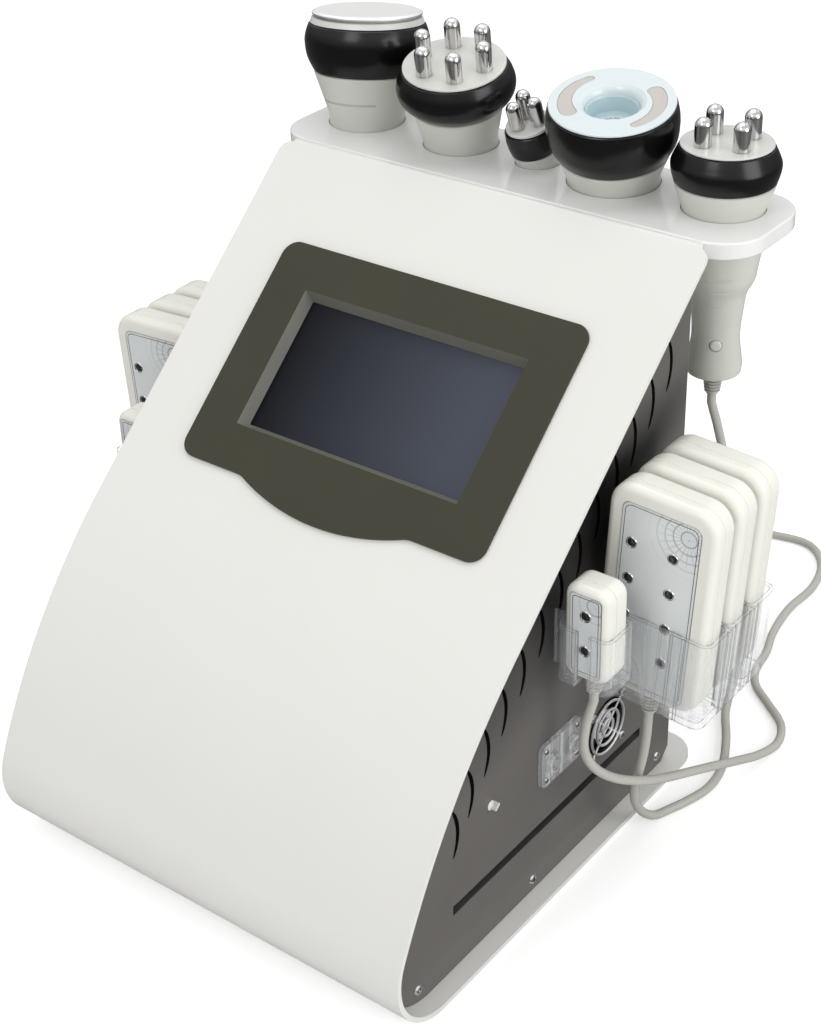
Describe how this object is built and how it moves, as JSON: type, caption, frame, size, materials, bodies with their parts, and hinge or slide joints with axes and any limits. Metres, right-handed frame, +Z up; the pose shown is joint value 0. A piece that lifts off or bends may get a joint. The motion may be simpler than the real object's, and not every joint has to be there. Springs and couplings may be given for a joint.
{
  "type": "cavitation slimming machine",
  "caption": "Desktop body-treatment console: bent white shell with a sloping touch screen, handpieces lifting from a rear shelf, clear side trays of laser pads, fan, cords and rear sockets.",
  "frame": {"origin": "middle of the console's foot, on the surface that it stands on", "axes": "+X to the operator's right, +Y towards the back of the console, +Z up"},
  "size_m": [0.4342, 0.5699, 0.4302],
  "materials": {
    "white_paint": "satin white powder coat",
    "grey_paint": "dark grey satin powder coat",
    "shelf_white": "gloss white",
    "bezel_black": "satin black",
    "screen_glass": "gloss dark",
    "clear_acrylic": "clear",
    "pad_white": "satin cream white",
    "grip_grey": "satin silver grey",
    "band_black": "gloss black",
    "head_pale": "satin pale",
    "chrome": "bright wire",
    "cord_grey": "satin grey",
    "black_plastic": "matt black",
    "board_green": "green laminate",
    "zinc_steel": "zinc plated"
  },
  "bodies": {
    "console": {"front_shell": "white_paint", "side_panel_left": "grey_paint", "side_panel_right": "grey_paint", "rear_panel": "grey_paint", "handpiece_shelf": "shelf_white", "screen_bezel": "bezel_black", "touch_panel": "screen_glass", "display_module": "zinc_steel", "main_board": "board_green", "power_supply": "zinc_steel", "vacuum_pump": "black_plastic", "fan_frame": "black_plastic", "fan_guard": "chrome", "power_inlet": "black_plastic", "holder_bracket": "clear_acrylic", "pad_tray_right": "clear_acrylic", "pad_tray_left": "clear_acrylic", "small_holder_right": "clear_acrylic", "small_holder_left": "clear_acrylic", "cord_small_pad": "cord_grey", "connector_small_pad": "black_plastic", "cord_large_pad": "cord_grey", "coil_large_pad": "cord_grey", "tail_large_pad": "cord_grey", "connector_large_pad": "black_plastic", "cord_handpiece": "cord_grey", "coil_handpiece": "cord_grey", "tail_handpiece": "cord_grey", "connector_handpiece": "black_plastic"},
    "cavitation_handpiece": {"cavitation_handle": "grip_grey", "cavitation_band": "band_black", "cavitation_head": "head_pale"},
    "cavitation_key": {"cavitation_button": "grip_grey"},
    "wide_rf_handpiece": {"wide_rf_handle": "grip_grey", "wide_rf_band": "band_black", "wide_rf_head": "head_pale"},
    "wide_rf_key": {"wide_rf_button": "grip_grey"},
    "facial_rf_handpiece": {"facial_rf_handle": "grip_grey", "facial_rf_band": "band_black", "facial_rf_head": "head_pale"},
    "facial_rf_key": {"facial_rf_button": "grip_grey"},
    "vacuum_rf_handpiece": {"vacuum_rf_handle": "grip_grey", "vacuum_rf_band": "band_black", "vacuum_rf_head": "head_pale"},
    "vacuum_rf_key": {"vacuum_rf_button": "grip_grey"},
    "body_rf_handpiece": {"body_rf_handle": "grip_grey", "body_rf_band": "band_black", "body_rf_head": "head_pale"},
    "body_rf_key": {"body_rf_button": "grip_grey"},
    "large_pad_right_1_body": {"large_pad_right_1": "pad_white"},
    "large_pad_right_2_body": {"large_pad_right_2": "pad_white"},
    "large_pad_right_3_body": {"large_pad_right_3": "pad_white"},
    "small_pad_right_body": {"small_pad_right": "pad_white"},
    "large_pad_left_1_body": {"large_pad_left_1": "pad_white"},
    "large_pad_left_2_body": {"large_pad_left_2": "pad_white"},
    "large_pad_left_3_body": {"large_pad_left_3": "pad_white"},
    "small_pad_left_body": {"small_pad_left": "pad_white"},
    "fan_wheel": {"fan_rotor": "black_plastic"},
    "rocker": {"power_switch": "black_plastic"}
  },
  "joints": [
    {"name": "cavitation_lift", "type": "slide", "parent": "console", "child": "cavitation_handpiece", "axis": [-0.0605, 0.1392, 0.9884], "range_m": [0, 0.13]},
    {"name": "cavitation_press", "type": "slide", "parent": "cavitation_handpiece", "child": "cavitation_key", "axis": [-0.4917, 0.8576, -0.1508], "range_m": [0, 0.0008], "stiffness_N_per_m": 500, "springref_m": -0.0006},
    {"name": "wide_rf_lift", "type": "slide", "parent": "console", "child": "wide_rf_handpiece", "axis": [0.0599, -0.1908, 0.9798], "range_m": [0, 0.13]},
    {"name": "wide_rf_press", "type": "slide", "parent": "wide_rf_handpiece", "child": "wide_rf_key", "axis": [-0.489, 0.8501, 0.1955], "range_m": [0, 0.0008], "stiffness_N_per_m": 500, "springref_m": -0.0006},
    {"name": "facial_rf_lift", "type": "slide", "parent": "console", "child": "facial_rf_handpiece", "axis": [-0.0581, -0.309, 0.9493], "range_m": [0, 0.08]},
    {"name": "facial_rf_press", "type": "slide", "parent": "facial_rf_handpiece", "child": "facial_rf_key", "axis": [-0.5154, 0.8236, 0.2366], "range_m": [0, 0.0008], "stiffness_N_per_m": 500, "springref_m": -0.0006},
    {"name": "vacuum_rf_lift", "type": "slide", "parent": "console", "child": "vacuum_rf_handpiece", "axis": [0.0685, -0.1908, 0.9792], "range_m": [0, 0.13]},
    {"name": "vacuum_rf_press", "type": "slide", "parent": "vacuum_rf_handpiece", "child": "vacuum_rf_key", "axis": [-0.4873, 0.8501, 0.1997], "range_m": [0, 0.0008], "stiffness_N_per_m": 500, "springref_m": -0.0006},
    {"name": "body_rf_lift", "type": "slide", "parent": "console", "child": "body_rf_handpiece", "axis": [0, 0, 1], "range_m": [0, 0.13]},
    {"name": "body_rf_press", "type": "slide", "parent": "body_rf_handpiece", "child": "body_rf_key", "axis": [-0.5, 0.866, 0], "range_m": [0, 0.0008], "stiffness_N_per_m": 500, "springref_m": -0.0006},
    {"name": "large_pad_right_1_lift", "type": "slide", "parent": "console", "child": "large_pad_right_1_body", "axis": [0.061, 0, 0.9981], "range_m": [0, 0.1]},
    {"name": "large_pad_right_2_lift", "type": "slide", "parent": "console", "child": "large_pad_right_2_body", "axis": [0.061, 0, 0.9981], "range_m": [0, 0.1]},
    {"name": "large_pad_right_3_lift", "type": "slide", "parent": "console", "child": "large_pad_right_3_body", "axis": [0.061, 0, 0.9981], "range_m": [0, 0.1]},
    {"name": "small_pad_right_lift", "type": "slide", "parent": "console", "child": "small_pad_right_body", "axis": [0, 0, 1], "range_m": [0, 0.06]},
    {"name": "large_pad_left_1_lift", "type": "slide", "parent": "console", "child": "large_pad_left_1_body", "axis": [-0.061, 0, 0.9981], "range_m": [0, 0.1]},
    {"name": "large_pad_left_2_lift", "type": "slide", "parent": "console", "child": "large_pad_left_2_body", "axis": [-0.061, 0, 0.9981], "range_m": [0, 0.1]},
    {"name": "large_pad_left_3_lift", "type": "slide", "parent": "console", "child": "large_pad_left_3_body", "axis": [-0.061, 0, 0.9981], "range_m": [0, 0.1]},
    {"name": "small_pad_left_lift", "type": "slide", "parent": "console", "child": "small_pad_left_body", "axis": [0, 0, 1], "range_m": [0, 0.06]},
    {"name": "fan_spin", "type": "hinge", "parent": "console", "child": "fan_wheel", "pos_m": [0.1312, 0.0605, 0.0746], "axis": [1, 0, 0], "continuous": true},
    {"name": "power_rock", "type": "hinge", "parent": "console", "child": "rocker", "pos_m": [-0.092, 0.1341, 0.27], "axis": [-1, 0, 0], "range_deg": [0, 18]}
  ]
}
